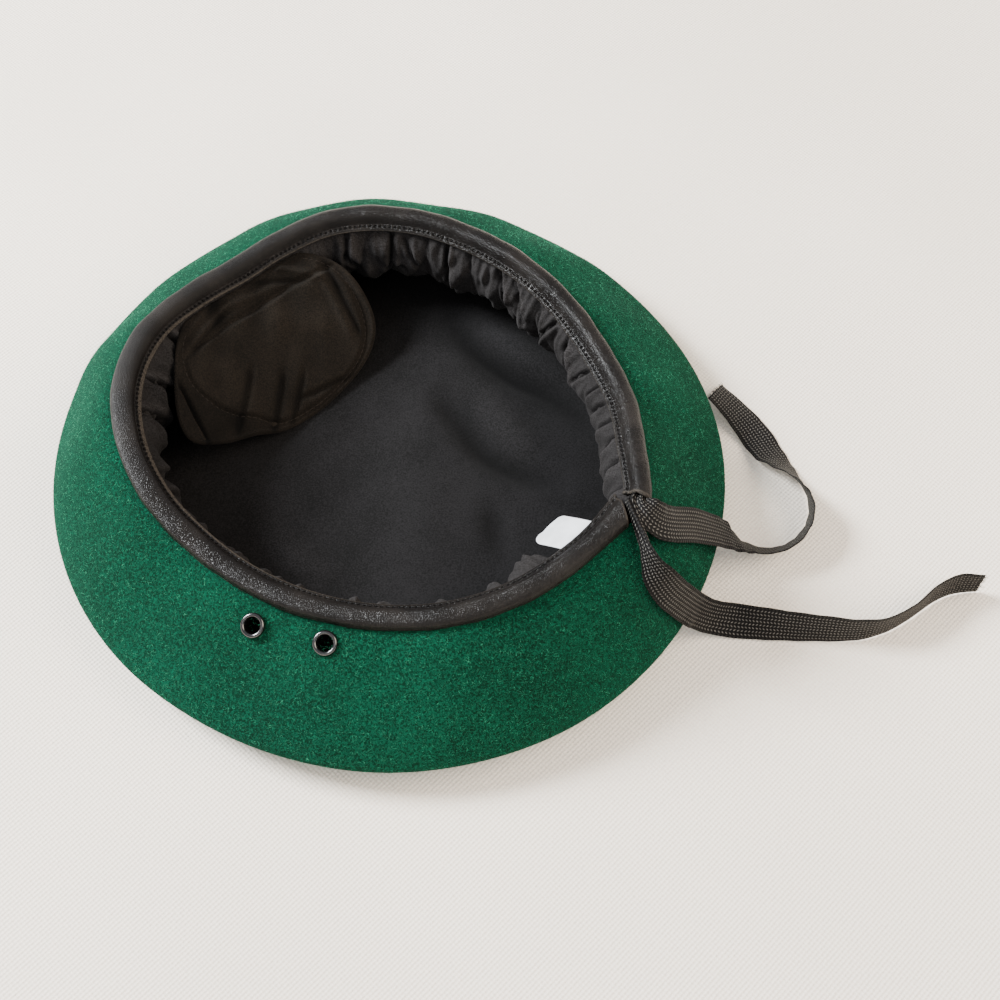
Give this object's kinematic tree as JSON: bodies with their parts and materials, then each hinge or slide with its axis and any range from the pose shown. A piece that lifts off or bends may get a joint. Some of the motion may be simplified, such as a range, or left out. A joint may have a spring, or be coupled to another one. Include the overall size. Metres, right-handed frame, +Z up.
{
  "type": "military beret",
  "caption": "Wool felt military beret lying on its crown, with leather binding, gathered lining, badge pad, size label, vent eyelets and drawstring tails.",
  "frame": {"origin": "on the surface that the crown rests on, under the middle of the rim", "axes": "+Z up, out of the head opening; +X to the right of the picture, towards the drawstring; +Y away from the camera"},
  "size_m": [0.3661, 0.2733, 0.0585],
  "materials": {
    "wool_felt": "matt milled wool felt",
    "lining_cotton": "plain weave, near black",
    "binding_leather": "fine grained, low sheen",
    "label_satin": "white satin, bare",
    "eyelet_enamel": "glossy black enamel",
    "drawstring_braid": "flat braid, slight sheen"
  },
  "bodies": {
    "root": {"felt_shell": "wool_felt", "crown_lining": "lining_cotton", "gathered_lining": "lining_cotton", "leather_binding": "binding_leather", "badge_pad": "lining_cotton", "size_label": "label_satin", "vent_eyelet_left": "eyelet_enamel", "vent_eyelet_right": "eyelet_enamel", "drawstring_tail_looped": "drawstring_braid", "drawstring_tail_trailing": "drawstring_braid"}
  },
  "joints": []
}
